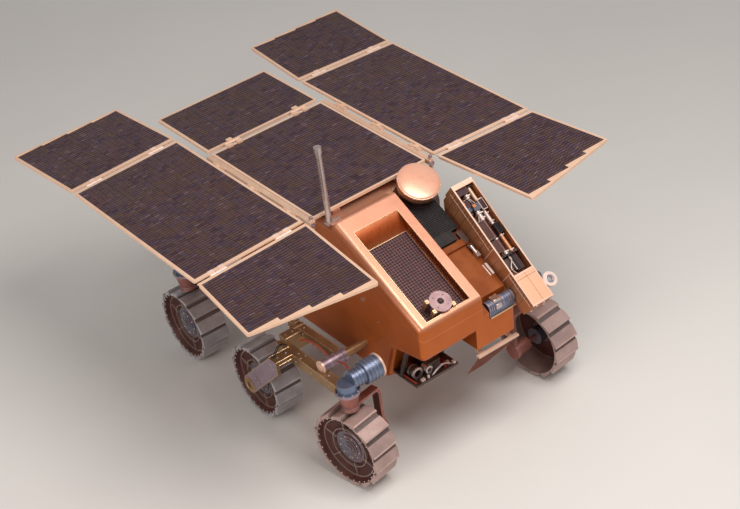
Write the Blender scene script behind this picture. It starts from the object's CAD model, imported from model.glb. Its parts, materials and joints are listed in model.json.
# %% [markdown]
# # A planetary rover, dressed around its CAD frame
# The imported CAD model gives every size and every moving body. This file adds finishes to its solids and
# builds the finer pieces: wheel strips, solar cells, trims, bolts and cables. Each cell does one step.

# %% Load the frame
import json
import math

import bpy
import numpy as np
from mathutils import Matrix, Vector


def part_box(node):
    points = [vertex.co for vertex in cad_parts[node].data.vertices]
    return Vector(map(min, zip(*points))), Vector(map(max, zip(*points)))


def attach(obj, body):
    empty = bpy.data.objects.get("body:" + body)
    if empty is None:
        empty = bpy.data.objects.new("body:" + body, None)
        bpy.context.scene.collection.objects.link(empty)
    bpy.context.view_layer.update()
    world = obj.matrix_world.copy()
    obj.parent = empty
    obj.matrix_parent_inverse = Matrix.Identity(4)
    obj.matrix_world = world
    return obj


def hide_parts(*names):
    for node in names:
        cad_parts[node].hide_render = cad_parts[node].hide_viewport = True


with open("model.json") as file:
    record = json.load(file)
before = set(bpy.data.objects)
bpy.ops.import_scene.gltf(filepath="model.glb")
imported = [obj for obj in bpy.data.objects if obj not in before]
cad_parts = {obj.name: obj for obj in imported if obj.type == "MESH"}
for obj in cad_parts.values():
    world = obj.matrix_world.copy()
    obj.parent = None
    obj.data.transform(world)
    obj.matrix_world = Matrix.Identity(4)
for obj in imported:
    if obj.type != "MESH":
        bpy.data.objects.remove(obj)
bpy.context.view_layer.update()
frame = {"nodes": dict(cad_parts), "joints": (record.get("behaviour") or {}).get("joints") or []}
nodes = frame["nodes"]
joints = {joint["name"]: joint for joint in frame["joints"]}

# %% [markdown]
# ## The camera
# The photograph was taken with a long lens from the front right, well above the rover. The place and the
# turn of the camera are the ones at which the wheels and the array's corners fall where the photograph has
# them. A camera looks along its own -Z, so its matrix columns are right, up and backwards.

# %% The camera
camera_place = Vector((4.598, -2.766, 3.980))
camera_forward = Vector((-0.70054701, 0.44557241, -0.55740391))
camera_roll = math.radians(-8.844)
level_right = camera_forward.cross(Vector((0, 0, 1))).normalized()
level_up = level_right.cross(camera_forward)
right = math.cos(camera_roll) * level_right + math.sin(camera_roll) * level_up
up = -math.sin(camera_roll) * level_right + math.cos(camera_roll) * level_up
camera_data = bpy.data.cameras.new("photo_camera")
camera_data.sensor_width = 36
camera_data.lens = 87.57
camera = bpy.data.objects.new("photo_camera", camera_data)
bpy.context.scene.collection.objects.link(camera)
turn = Matrix((right, up, -camera_forward)).transposed().to_4x4()
camera.matrix_world = Matrix.Translation(camera_place) @ turn
bpy.context.scene.camera = camera
print("camera", [round(v, 3) for v in camera_place])

# %% [markdown]
# ## Light and floor
# In the photograph the light comes from almost overhead and a little from the front, so deck, panel frames
# and the front treads are bright and the sides are darker. One large lamp above does that, a wide weak one
# fills the camera's side, and a pale world keeps the shadows soft. The lamps are large, because metal shows
# what it reflects, and a large soft shape looks like a studio.

# %% Light and floor
scene = bpy.context.scene
scene.view_settings.view_transform = "Standard"


def area_light(name, place, aim, size, power, colour):
    """A square lamp at place that faces aim."""
    data = bpy.data.lights.new(name, "AREA")
    data.size = size
    data.energy = power
    data.color = colour
    lamp = bpy.data.objects.new(name, data)
    scene.collection.objects.link(lamp)
    lamp.location = place
    lamp.rotation_euler = (Vector(aim) - Vector(place)).to_track_quat("-Z", "Y").to_euler()


KEY_WATTS, FILL_WATTS, WORLD_LEVEL = 100, 62, 0.38
area_light("key_light", (1.9, 0.3, 3.6), (0.1, 0, 0.5), 2.2, KEY_WATTS, (1, 0.97, 0.93))
area_light("side_fill", (1.2, -4.2, 2.2), (0, 0, 0.4), 2.6, FILL_WATTS, (1, 0.95, 0.9))

world = bpy.data.worlds.new("studio")
scene.world = world
world.use_nodes = True
world.node_tree.nodes["Background"].inputs["Color"].default_value = (0.95, 0.93, 0.92, 1)
world.node_tree.nodes["Background"].inputs["Strength"].default_value = WORLD_LEVEL
print("lamps", KEY_WATTS, FILL_WATTS, "world", WORLD_LEVEL)

# %% [markdown]
# ## Node helpers
# Materials are made from many small nodes. One helper makes a node, sets it up and wires its inputs in one
# line, so that a material reads like a list of what it is made of. Others stand for the few nodes that come
# back in every material, and one opens a node group with named sockets, for effects that finishes share.

# %% Node helpers


def node(tree, kind, ins=None, **settings):
    """A node of that kind; ins gives each input a value or another node's output."""
    made = tree.nodes.new(kind)
    for key, value in settings.items():
        setattr(made, key, value)
    for key, value in (ins or {}).items():
        if isinstance(value, bpy.types.NodeSocket):
            tree.links.new(value, made.inputs[key])
        else:
            made.inputs[key].default_value = value
    return made


def effect_group(name, inputs, outputs):
    """An empty shader node group with named sockets; returns it with its two end nodes."""
    tree = bpy.data.node_groups.new(name, "ShaderNodeTree")
    for label, kind, value in inputs:
        socket = tree.interface.new_socket(label, in_out="INPUT", socket_type=kind)
        socket.default_value = value
    for label, kind in outputs:
        tree.interface.new_socket(label, in_out="OUTPUT", socket_type=kind)
    return tree, tree.nodes.new("NodeGroupInput").outputs, tree.nodes.new("NodeGroupOutput").inputs


def between(tree, value, low, high):
    """Maps value from low..high to 0..1, clamped."""
    return node(tree, "ShaderNodeMapRange", {0: value, 1: low, 2: high}).outputs[0]


def mixed(tree, factor, first, second):
    """The colour that lies factor of the way from first to second."""
    return node(tree, "ShaderNodeMix", {0: factor, 6: first, 7: second}, data_type="RGBA").outputs[2]


def computed(tree, operation, *values):
    """The result of a math node on one or two values."""
    return node(tree, "ShaderNodeMath", dict(enumerate(values)), operation=operation).outputs[0]


def product(tree, first, second):
    """The product of two values."""
    return computed(tree, "MULTIPLY", first, second)


def dotted(tree, first, second):
    """The dot product of two vectors."""
    return node(tree, "ShaderNodeVectorMath", {0: first, 1: second}, operation="DOT_PRODUCT").outputs["Value"]


def noise(tree, place, scale, detail):
    """Soft noise, 0 to 1."""
    return node(tree, "ShaderNodeTexNoise", {"Vector": place, "Scale": scale, "Detail": detail}).outputs[0]


def object_place(tree):
    """The point in the piece's own axes."""
    return node(tree, "ShaderNodeTexCoord").outputs["Object"]


def part_of(tree, vector, axis):
    """One part of a vector: 0, 1 or 2 for x, y or z."""
    return node(tree, "ShaderNodeSeparateXYZ", {0: vector}).outputs[axis]


def opaque(colour):
    """The colour with full alpha."""
    return (*colour, 1)


def colour_ramp(tree, value, stops, interpolation="LINEAR"):
    """The colour at value on a ramp whose stops are (where it starts, colour)."""
    ramp = node(tree, "ShaderNodeValToRGB", {0: value})
    ramp.color_ramp.interpolation = interpolation
    while len(ramp.color_ramp.elements) < len(stops):
        ramp.color_ramp.elements.new(0.5)
    for stop, (where, colour) in zip(ramp.color_ramp.elements, stops):
        stop.position, stop.color = where, opaque(colour)
    return ramp.outputs[0]


def new_material(name):
    """A new material, its node tree and its shader."""
    material = bpy.data.materials.new(name)
    material.use_nodes = True
    return material, material.node_tree, material.node_tree.nodes["Principled BSDF"]


COLOUR, VALUE, VECTOR = "NodeSocketColor", "NodeSocketFloat", "NodeSocketVector"

# %% [markdown]
# ## Shared effects
# Real finishes are never one flat colour. Four effects come back on most of the rover: cloudy changes of
# tint, a brushed grain, edges worn to a lighter tone, and dust that settles on what faces up. Each is built
# once as a group. The worn edge compares a rounded normal with the true one, which differ only near edges,
# and so it works on CAD solids with few vertices.

# %% Shared effects


def cloudy_effect():
    """Blends two colours by a soft noise: Colour goes to Other Colour by Amount * noise."""
    tree, given, out = effect_group(
        "cloudy_tint",
        [("Place", VECTOR, (0, 0, 0)), ("Size", VALUE, 10), ("Colour", COLOUR, (1, 1, 1, 1)),
         ("Other Colour", COLOUR, (0, 0, 0, 1)), ("Amount", VALUE, 0.5)],
        [("Colour", COLOUR)])
    clouds = noise(tree, given["Place"], given["Size"], 4)
    mask = product(tree, between(tree, clouds, 0.36, 0.64), given["Amount"])
    tree.links.new(mixed(tree, mask, given["Colour"], given["Other Colour"]), out["Colour"])
    return tree


def grain_effect():
    """Fine noise stretched by Stretch: a height for bump, and a roughness round Roughness."""
    tree, given, out = effect_group(
        "brushed_grain",
        [("Place", VECTOR, (0, 0, 0)), ("Stretch", VECTOR, (40, 40, 400)), ("Roughness", VALUE, 0.4),
         ("Spread", VALUE, 0.1)],
        [("Height", VALUE), ("Roughness", VALUE)])
    scaled = node(tree, "ShaderNodeVectorMath", {0: given["Place"], 1: given["Stretch"]},
                  operation="MULTIPLY")
    fine = noise(tree, scaled.outputs[0], 1, 3)
    offset = product(tree, computed(tree, "SUBTRACT", fine, 0.5), given["Spread"])
    tree.links.new(fine, out["Height"])
    tree.links.new(computed(tree, "ADD", given["Roughness"], offset), out["Roughness"])
    return tree


def edge_effect():
    """Mask near edges: how far the rounded normal leans from the true one."""
    tree, given, out = effect_group(
        "worn_edge", [("Radius", VALUE, 0.003), ("Amount", VALUE, 1)], [("Mask", VALUE)])
    rounded = node(tree, "ShaderNodeBevel", {"Radius": given["Radius"]}, samples=6)
    true = node(tree, "ShaderNodeNewGeometry")
    mask = between(tree, dotted(tree, rounded.outputs[0], true.outputs["Normal"]), 0.985, 0.8)
    tree.links.new(product(tree, mask, given["Amount"]), out["Mask"])
    return tree


def dust_effect():
    """Mask of patchy dust on what faces up: (normal z) * noise * Amount."""
    tree, given, out = effect_group(
        "settled_dust", [("Place", VECTOR, (0, 0, 0)), ("Amount", VALUE, 0.3)], [("Mask", VALUE)])
    true = node(tree, "ShaderNodeNewGeometry")
    upward = part_of(tree, true.outputs["Normal"], 2)
    patchy = noise(tree, given["Place"], 26, 6)
    patches = product(tree, between(tree, patchy, 0.4, 0.7), between(tree, upward, 0, 1))
    tree.links.new(product(tree, patches, given["Amount"]), out["Mask"])
    return tree


cloudy, grain, worn, dust = cloudy_effect(), grain_effect(), edge_effect(), dust_effect()
print("effect groups", [tree.name for tree in (cloudy, grain, worn, dust)])


def effect(tree, group, ins):
    """Places one of the shared effects in a material."""
    return node(tree, "ShaderNodeGroup", ins, node_tree=group).outputs


def clouded(tree, place, size, colour, other, amount):
    """The cloudy tint's colour, between colour and other."""
    return effect(tree, cloudy, {"Place": place, "Size": size, "Colour": opaque(colour),
                                 "Other Colour": opaque(other), "Amount": amount})["Colour"]


DUST_TONE = (0.46, 0.22, 0.11, 1)


def dusted(tree, place, amount, colour):
    """The colour with dust on what faces up."""
    return mixed(tree, effect(tree, dust, {"Place": place, "Amount": amount})["Mask"], colour, DUST_TONE)


def wire(tree, shader, colour, rough, strength, distance, height):
    """Wires a shader's colour, its roughness, and a bump of that strength from a height."""
    raised = node(tree, "ShaderNodeBump", {"Strength": strength, "Distance": distance, "Height": height})
    for socket, source in (("Base Color", colour), ("Roughness", rough), ("Normal", raised.outputs[0])):
        tree.links.new(source, shader.inputs[socket])


# %% [markdown]
# ## Finishes
# Almost every part of the rover is metal with some film or paint on it, so one recipe serves: a cloudy base
# colour, a lighter tone on the edges, dust on top, and grain in roughness and bump. What differs is written
# in a table with one row per finish. Colours are linear, and read off the photograph by eye.

# %% Finishes
# grain stretch: the same all ways, or fine lines across Y
EVEN, LINED = (60, 60, 60), (60, 400, 60)
finish_table = (
    # name, colour, other colour, cloud size, cloud amount, edge colour, edge amount, metallic, roughness,
    # grain stretch, bump, dust
    ("copper_skin", (0.56, 0.135, 0.022), (0.42, 0.092, 0.012), 5, 0.7, (0.90, 0.48, 0.30), 0.5, 0.6, 0.36,
     EVEN, 0.04, 0.10),
    ("cream_frame", (0.76, 0.50, 0.36), (0.66, 0.42, 0.29), 18, 0.6, (0.95, 0.74, 0.60), 0.5, 0.25, 0.42,
     (50, 300, 50), 0.06, 0.12),
    ("gold_film", (0.42, 0.26, 0.13), (0.27, 0.16, 0.09), 16, 0.8, (0.86, 0.62, 0.38), 0.9, 0.7, 0.42,
     (400, 50, 50), 0.08, 0.14),
    ("pink_copper", (0.40, 0.165, 0.135), (0.28, 0.10, 0.08), 20, 0.7, (0.8, 0.52, 0.44), 0.7, 0.55, 0.4,
     (80, 80, 300), 0.06, 0.06),
    ("motor_steel", (0.17, 0.22, 0.33), (0.11, 0.13, 0.21), 24, 0.7, (0.60, 0.62, 0.74), 0.8, 0.6, 0.34,
     (60, 500, 60), 0.06, 0.08),
    ("bare_metal", (0.62, 0.52, 0.50), (0.46, 0.38, 0.37), 22, 0.6, (0.95, 0.86, 0.82), 0.6, 0.85, 0.3,
     (60, 60, 500), 0.06, 0.04),
    ("white_paint", (0.86, 0.66, 0.58), (0.74, 0.54, 0.46), 26, 0.6, (1.0, 0.85, 0.78), 0.4, 0.15, 0.38,
     EVEN, 0.04, 0.05),
    ("dark_steel", (0.10, 0.06, 0.055), (0.05, 0.03, 0.028), 26, 0.8, (0.34, 0.24, 0.21), 0.8, 0.5, 0.42,
     EVEN, 0.08, 0.10),
    ("black_fins", (0.010, 0.007, 0.008), (0.005, 0.004, 0.005), 30, 0.6, (0.07, 0.05, 0.06), 0.6, 0.1, 0.62,
     EVEN, 0.05, 0.04),
    ("strip_metal", (0.50, 0.345, 0.315), (0.38, 0.26, 0.24), 22, 0.8, (0.88, 0.66, 0.60), 0.6, 0.4, 0.46,
     LINED, 0.10, 0.16),
    ("strip_edge", (0.86, 0.62, 0.56), (0.70, 0.48, 0.42), 22, 0.6, (1.0, 0.84, 0.78), 0.5, 0.45, 0.42,
     LINED, 0.05, 0.05),
    ("wheel_web", (0.095, 0.022, 0.018), (0.050, 0.012, 0.010), 24, 0.8, (0.26, 0.14, 0.11), 0.5, 0.3, 0.5,
     EVEN, 0.06, 0.10),
    ("hoop_metal", (0.56, 0.44, 0.38), (0.42, 0.32, 0.28), 24, 0.6, (0.9, 0.78, 0.7), 0.5, 0.7, 0.35,
     EVEN, 0.04, 0.04),
    ("hub_metal", (0.15, 0.16, 0.21), (0.16, 0.075, 0.075), 18, 0.9, (0.62, 0.60, 0.66), 0.8, 0.6, 0.32,
     LINED, 0.05, 0.05),
    ("gold_rim", (0.95, 0.62, 0.36), (0.80, 0.46, 0.22), 20, 0.5, (1.0, 0.8, 0.6), 0.5, 0.8, 0.26,
     EVEN, 0.03, 0.0),
    ("red_lead", (0.36, 0.045, 0.02), (0.26, 0.03, 0.015), 60, 0.6, (0.5, 0.12, 0.08), 0.3, 0.0, 0.45,
     (90, 90, 90), 0.05, 0.05),
    ("drum_cap", (0.90, 0.47, 0.33), (0.84, 0.40, 0.26), 8, 0.5, (1.0, 0.74, 0.60), 0.2, 0.35, 0.30,
     EVEN, 0.02, 0.0),
    ("drum_side", (0.62, 0.24, 0.10), (0.30, 0.16, 0.10), 10, 0.8, (0.80, 0.50, 0.36), 0.7, 0.6, 0.34,
     EVEN, 0.04, 0.04),
    ("tan_side", (0.50, 0.22, 0.10), (0.38, 0.15, 0.06), 14, 0.6, (0.75, 0.45, 0.30), 0.6, 0.4, 0.4,
     EVEN, 0.04, 0.04),
    ("pale_rim", (0.88, 0.60, 0.47), (0.78, 0.48, 0.35), 20, 0.5, (1.0, 0.80, 0.70), 0.3, 0.3, 0.34,
     EVEN, 0.03, 0.02),
    ("seam_dark", (0.10, 0.035, 0.014), (0.07, 0.022, 0.010), 30, 0.5, (0.2, 0.1, 0.06), 0.2, 0.2, 0.5,
     EVEN, 0.03, 0.0),
    ("orange_copper", (0.75, 0.20, 0.03), (0.60, 0.14, 0.02), 30, 0.5, (1.0, 0.5, 0.2), 0.4, 0.5, 0.34,
     EVEN, 0.03, 0.02),
    ("cell_backing", (0.010, 0.004, 0.006), (0.006, 0.002, 0.004), 30, 0.5, (0.03, 0.02, 0.02), 0.2, 0.0, 0.6,
     EVEN, 0.03, 0.03),
    ("mesh_bar", (0.17, 0.055, 0.052), (0.11, 0.032, 0.036), 30, 0.5, (0.3, 0.2, 0.22), 0.3, 0.5, 0.42,
     EVEN, 0.03, 0.05),
    ("wall_copper", (0.32, 0.055, 0.006), (0.22, 0.035, 0.004), 16, 0.7, (0.8, 0.4, 0.2), 0.4, 0.65, 0.3,
     EVEN, 0.05, 0.03),
    ("disc_metal", (0.34, 0.19, 0.20), (0.50, 0.33, 0.33), 30, 0.5, (0.9, 0.66, 0.64), 0.6, 0.4, 0.34,
     EVEN, 0.04, 0.03),
    ("panel_cream", (0.88, 0.58, 0.41), (0.80, 0.49, 0.34), 18, 0.6, (1.0, 0.80, 0.62), 0.5, 0.2, 0.42,
     (50, 300, 50), 0.05, 0.06),
    ("dark_copper", (0.16, 0.040, 0.022), (0.10, 0.022, 0.014), 30, 0.6, (0.5, 0.2, 0.12), 0.6, 0.4, 0.4,
     EVEN, 0.04, 0.05),
    ("plate_black", (0.020, 0.006, 0.010), (0.012, 0.004, 0.007), 30, 0.6, (0.06, 0.03, 0.03), 0.2, 0.2, 0.5,
     EVEN, 0.03, 0.02),
    ("strip_cool", (0.44, 0.42, 0.44), (0.32, 0.30, 0.31), 22, 0.8, (0.80, 0.72, 0.70), 0.6, 0.35, 0.42,
     LINED, 0.10, 0.05),
    ("groove_grey", (0.15, 0.115, 0.11), (0.09, 0.065, 0.06), 26, 0.7, (0.3, 0.24, 0.22), 0.3, 0.3, 0.5,
     EVEN, 0.05, 0.08),
    ("lilac_metal", (0.34, 0.25, 0.30), (0.24, 0.16, 0.20), 26, 0.7, (0.86, 0.70, 0.72), 0.8, 0.6, 0.36,
     (60, 60, 400), 0.05, 0.08),
    ("olive_gold", (0.40, 0.22, 0.09), (0.26, 0.13, 0.05), 30, 0.6, (0.90, 0.70, 0.40), 0.8, 0.6, 0.34,
     EVEN, 0.04, 0.05),
    ("black_lead", (0.02, 0.018, 0.02), (0.012, 0.011, 0.012), 60, 0.6, (0.08, 0.07, 0.07), 0.3, 0.0, 0.5,
     (90, 90, 90), 0.05, 0.05),
)


def metal_finish(row):
    """The shared recipe: cloudy base, worn edges, dust, and grain in roughness and bump."""
    name, colour, other, size, cloud, edge, edge_amount, metallic, rough, stretch, bump, dusty = row
    material, tree, shader = new_material(name)
    place = object_place(tree)
    base = clouded(tree, place, size, colour, other, cloud)
    edges = effect(tree, worn, {"Radius": 0.0025, "Amount": edge_amount})
    grains = effect(tree, grain, {"Place": place, "Stretch": stretch, "Roughness": rough, "Spread": 0.22})
    tinted = mixed(tree, edges["Mask"], base, opaque(edge))
    wire(tree, shader, dusted(tree, place, dusty, tinted), grains["Roughness"], bump, 0.002, grains["Height"])
    shader.inputs["Metallic"].default_value = metallic
    return material


finish = {row[0]: metal_finish(row) for row in finish_table}
print("finishes", len(finish))

# %% [markdown]
# ## Finishes on the CAD solids
# A CAD node whose shape is right stays, and only its material changes. The table gives each node, by the
# start of its name, its finish. The first match counts.

# %% Finishes on the CAD solids
node_finishes = (
    ("tread_", "strip_metal"), ("wheel_centre_", "wheel_web"), ("knuckle_", "pink_copper"),
    ("steering_columns", "pink_copper"), ("steering_motors", "motor_steel"), ("bogie_", "gold_film"),
    ("rear_bogie", "gold_film"), ("body_tub", "copper_skin"), ("deck_frame", "copper_skin"),
    ("radiator_plate", "plate_black"), ("window_ring", "bare_metal"), ("antenna_drum", "drum_side"),
    ("ribbed_block", "black_fins"), ("rod_antenna", "bare_metal"), ("array_frame", "cream_frame"),
    ("centre_", "cream_frame"), ("left_", "cream_frame"), ("right_", "cream_frame"),
    ("drill_tray", "cream_frame"), ("drill_side_box", "copper_skin"), ("drill_rods", "white_paint"),
    ("drill_ring", "white_paint"), ("drill_positioner", "motor_steel"), ("front_strip", "cream_frame"),
    ("nose_instruments", "dark_steel"), ("hold_down_feet", "bare_metal"),
)


def paint(solid, material):
    """Gives all of a solid's material slots one material."""
    if not solid.material_slots:
        solid.data.materials.append(material)
    for slot in solid.material_slots:
        slot.material = material


for name, solid in nodes.items():
    chosen = next(look for start, look in node_finishes if name.startswith(start))
    paint(solid, finish[chosen])
print("painted", len(nodes))

# %% [markdown]
# ## The floor
# A plain pale floor that isn't part of the rover. It takes the shadow.

# %% The floor
floor_mesh = bpy.data.meshes.new("floor")
half_floor = 12.0
floor_mesh.from_pydata([(-half_floor, -half_floor, 0), (half_floor, -half_floor, 0),
                        (half_floor, half_floor, 0), (-half_floor, half_floor, 0)], [], [(0, 1, 2, 3)])
floor = bpy.data.objects.new("floor", floor_mesh)
scene.collection.objects.link(floor)
floor_look, floor_tree, floor_shader = new_material("pale_floor")
floor_tint = clouded(floor_tree, object_place(floor_tree), 1.5, (0.80, 0.77, 0.74), (0.77, 0.74, 0.71), 0.6)
floor_tree.links.new(floor_tint, floor_shader.inputs["Base Color"])
floor_shader.inputs["Roughness"].default_value = 0.8
floor_mesh.materials.append(floor_look)

# %% [markdown]
# ## Mesh helpers
# A shape here is a pair: an array of points, and a list of face arrays with one row of point numbers per
# face. Shapes are worked out whole, joined, and only then put into a Blender mesh. A closed shape whose
# volume comes out negative is inside out, so its faces are turned round.

# %% Mesh helpers


def outward(points, faces):
    """Turns the faces if the volume, the sum of (a . b x c) / 6 over a fan of triangles, is negative."""
    volume = 0.0
    for group in faces:
        first = points[group[:, 0]]
        for k in range(1, group.shape[1] - 1):
            volume += np.einsum("ij,ij->", first, np.cross(points[group[:, k]], points[group[:, k + 1]]))
    return points, [group[:, ::-1] for group in faces] if volume < 0 else faces


def loft(sections, ring=False):
    """Closed loops of m points, one per section, joined in turn: sections (n, m, 3). The ends are
    capped, or with ring the last section joins the first."""
    count, around = sections.shape[:2]
    rows = np.arange(count if ring else count - 1)[:, None]
    columns = np.arange(around)[None, :]
    ahead, beside = (rows + 1) % count, (columns + 1) % around
    quads = np.stack([rows * around + columns, rows * around + beside,
                      ahead * around + beside, ahead * around + columns], -1).reshape(-1, 4)
    faces = [quads]
    if not ring:
        loop = np.arange(around)
        faces.append(np.stack([loop[::-1], (count - 1) * around + loop]))
    return outward(sections.reshape(-1, 3), faces)


def join(shapes):
    """One shape of many."""
    points, faces, start = [], [], 0
    for some_points, some_faces in shapes:
        points.append(some_points)
        faces += [group + start for group in some_faces]
        start += len(some_points)
    return np.concatenate(points), faces


def copies(shape, places, turns=np.eye(3)):
    """The shape once per place: points @ turn^T + place. turns is (k, 3, 3) or one matrix."""
    points, faces = shape
    turns = np.broadcast_to(turns, (len(places), 3, 3))
    placed = np.einsum("kij,nj->kni", turns, points) + places[:, None, :]
    steps = np.arange(len(places))[:, None, None] * len(points)
    return placed.reshape(-1, 3), [(group[None] + steps).reshape(-1, group.shape[1]) for group in faces]


def moved(shape, turn=np.eye(3), place=(0, 0, 0)):
    """The shape turned and then shifted; a mirror turns its faces back outwards."""
    points = shape[0] @ np.asarray(turn, float).T + np.asarray(place, float)
    faces = shape[1]
    if np.linalg.det(turn) < 0:
        faces = [group[:, ::-1] for group in faces]
    return points, faces


def turn_about(axis, degrees):
    """Rotation matrix about x, y or z."""
    return np.array(Matrix.Rotation(math.radians(degrees), 3, axis.upper()))


def block(low, high):
    """A box from its low corner to its high corner, as two square sections."""
    low, high = np.asarray(low, float), np.asarray(high, float)
    square = np.array([(0, 0), (1, 0), (1, 1), (0, 1)], float)
    sections = np.array([[(u, v, w) for u, v in square] for w in (0.0, 1.0)])
    return loft(low + sections * (high - low))


def carried(outline, axis, ends):
    """A flat outline carried along one axis, 0, 1 or 2, from one end to the other."""
    return loft(np.stack([np.insert(np.asarray(outline, float), axis, end, axis=1) for end in ends]))


def round_angles(count):
    """That many angles, evenly spaced from 0 round a full turn."""
    return np.arange(count) / count * 2 * math.pi


def circle_places(radius, angles, height, centre=(0, 0)):
    """Places at those angles on a circle about Z."""
    return np.stack([centre[0] + radius * np.cos(angles), centre[1] + radius * np.sin(angles),
                     height + 0 * angles], -1)


def standing_box(x, y, length, width, low, high):
    """A box about the point (x, y), from the height low to the height high."""
    return block((x - length / 2, y - width / 2, low), (x + length / 2, y + width / 2, high))


def turned(profile, sides=32, ring=False):
    """A profile of (radius, height) points turned about Z: (r cos t, r sin t, h)."""
    profile = np.asarray(profile, float)
    angle = round_angles(sides)[:, None]
    sections = np.stack([np.cos(angle) * profile[:, 0], np.sin(angle) * profile[:, 0],
                         np.broadcast_to(profile[:, 1], (sides, len(profile)))], -1)
    return loft(sections if ring else sections.swapaxes(0, 1), ring)


def tube(path, radius, sides=10):
    """A round bar along a path: point + radius * (cos t * across + sin t * over), with across square to
    the path and to one fixed direction."""
    path = np.asarray(path, float)
    along = np.gradient(path, axis=0)
    along /= np.linalg.norm(along, axis=1, keepdims=True)
    spread = np.abs(along).max(0)
    fixed = np.eye(3)[np.argmin(spread)]
    across = np.cross(along, fixed)
    across /= np.linalg.norm(across, axis=1, keepdims=True)
    over = np.cross(along, across)
    angle = round_angles(sides)
    radii = np.broadcast_to(radius, len(path))[:, None, None]
    sections = path[:, None] + radii * (np.cos(angle)[None, :, None] * across[:, None]
                                        + np.sin(angle)[None, :, None] * over[:, None])
    return loft(sections)


def piece(name, shapes, look, body="chassis", stands_for=(), crease=35):
    """Puts shapes into one mesh object that rides on a body, smooth except at sharp edges."""
    points, faces = join(shapes)
    mesh = bpy.data.meshes.new(name)
    mesh.vertices.add(len(points))
    mesh.vertices.foreach_set("co", points.astype(np.float32).ravel())
    corners = np.concatenate([group.ravel() for group in faces]).astype(np.int32)
    totals = np.concatenate([np.full(len(group), group.shape[1]) for group in faces])
    mesh.loops.add(len(corners))
    mesh.loops.foreach_set("vertex_index", corners)
    mesh.polygons.add(len(totals))
    mesh.polygons.foreach_set("loop_start", np.concatenate([[0], np.cumsum(totals)[:-1]]).astype(np.int32))
    mesh.update(calc_edges=True)
    mesh.validate()
    mesh.polygons.foreach_set("use_smooth", np.ones(len(totals), bool))
    mesh.set_sharp_from_angle(angle=math.radians(crease))
    made = bpy.data.objects.new(name, mesh)
    scene.collection.objects.link(made)
    mesh.materials.append(finish[look])
    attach(made, body)
    if stands_for:
        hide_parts(*stands_for)
    return made


def soften(made, width, segments=2):
    """Rounds a piece's sharp edges with a Bevel modifier of that width."""
    bevel = made.modifiers.new("soft_edges", "BEVEL")
    bevel.width = width
    bevel.segments = segments
    bevel.limit_method = "ANGLE"
    bevel.angle_limit = math.radians(40)


# %% [markdown]
# ## Wheel strips
# Each wheel runs on a band of thin metal plates. Every plate starts in a bright folded edge and sinks along
# its length, and a dark groove lies between it and the next. That is one radius as a function of the angle,
# carried across the width: a closed loop of points per angle, joined into a ring.

# %% Wheel strips
WHEEL_RADIUS = 0.143
LUGS = 14
lug_pitch = 2 * math.pi / LUGS
wheel_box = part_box("tread_middle_right")
WHEEL_HALF = (wheel_box[1].y - wheel_box[0].y) / 2
WHEEL_LOW = WHEEL_RADIUS - 0.011
GROOVE_LOW = WHEEL_LOW - 0.0024
STRIP_INSIDE = WHEEL_LOW - 0.0045
DISH, HUB_STEP = WHEEL_HALF - 0.030, 0.0078
# share of the pitch, radius: fold, plate, groove
lug_profile = np.array([(0.0, WHEEL_RADIUS), (0.06, WHEEL_RADIUS), (0.085, WHEEL_RADIUS - 0.0014),
                        (0.40, WHEEL_LOW + 0.0064), (0.72, WHEEL_LOW + 0.0026), (0.735, GROOVE_LOW),
                        (0.975, GROOVE_LOW), (0.985, WHEEL_RADIUS - 0.0022)])


def around_wheel(angle, radius, across):
    """A point of the wheel: (r cos a, y, r sin a), with a from the front up over the top."""
    return np.stack([radius * np.cos(angle), across + 0 * angle, radius * np.sin(angle)], -1)


def wheel_strip():
    """The band: for each angle the loop outer left, outer right, inner right, inner left."""
    share = (np.arange(LUGS)[:, None] + lug_profile[None, :, 0]).ravel()
    outer = np.tile(lug_profile[:, 1], LUGS)
    angle = -math.pi / 2 - 0.03 * lug_pitch + share * lug_pitch
    inner = np.full_like(outer, STRIP_INSIDE)
    rim = WHEEL_HALF - 0.0008
    loop = [(outer - 0.0008, -WHEEL_HALF), (outer, -rim), (outer, rim), (outer - 0.0008, WHEEL_HALF),
            (inner, WHEEL_HALF), (inner, -WHEEL_HALF)]
    return loft(np.stack([around_wheel(angle, radius, across) for radius, across in loop], 1), ring=True)


def lug_bars(share, radius, low, high):
    """One flat bar across the wheel per lug, at that share of its pitch. Its corners low and high are along
    the tread, across the wheel, and out from the radius."""
    angle = -math.pi / 2 + share * lug_pitch + np.arange(LUGS) * lug_pitch
    turns = np.stack([turn_about("y", 90 - math.degrees(a)) for a in angle])
    return copies(block(low, high), around_wheel(angle, radius, 0.0), turns)


def lug_folds():
    """The bright folded edge of each plate."""
    half = WHEEL_HALF - 0.001
    return lug_bars(0.03, WHEEL_RADIUS - 0.0002, (-0.0009, -half, -0.0026), (0.0030, half, 0.0))


def lug_grooves():
    """The dark floor of each groove, just before the next fold."""
    half = WHEEL_HALF - 0.0014
    return lug_bars(0.825, GROOVE_LOW, (-0.0066, -half, -0.0015), (0.0066, half, 0.0004))


def rim_studs():
    """Small domed studs round the outer rim, two to a lug, and a ring of bolts on the hub's step."""
    angle = -math.pi / 2 + (np.arange(2 * LUGS) + 0.5) * lug_pitch / 2
    dome = turned([(0.0024, 0.0), (0.0024, 0.0012), (0.0016, 0.0022), (0.0004, 0.0026)], 8)
    rim = copies(dome, around_wheel(angle, WHEEL_LOW - 0.0085, WHEEL_HALF - 0.004), up_to_y)
    step = copies(dome, around_wheel(angle[::3], 0.0422, DISH + HUB_STEP), up_to_y)
    return join([rim, step])


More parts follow.
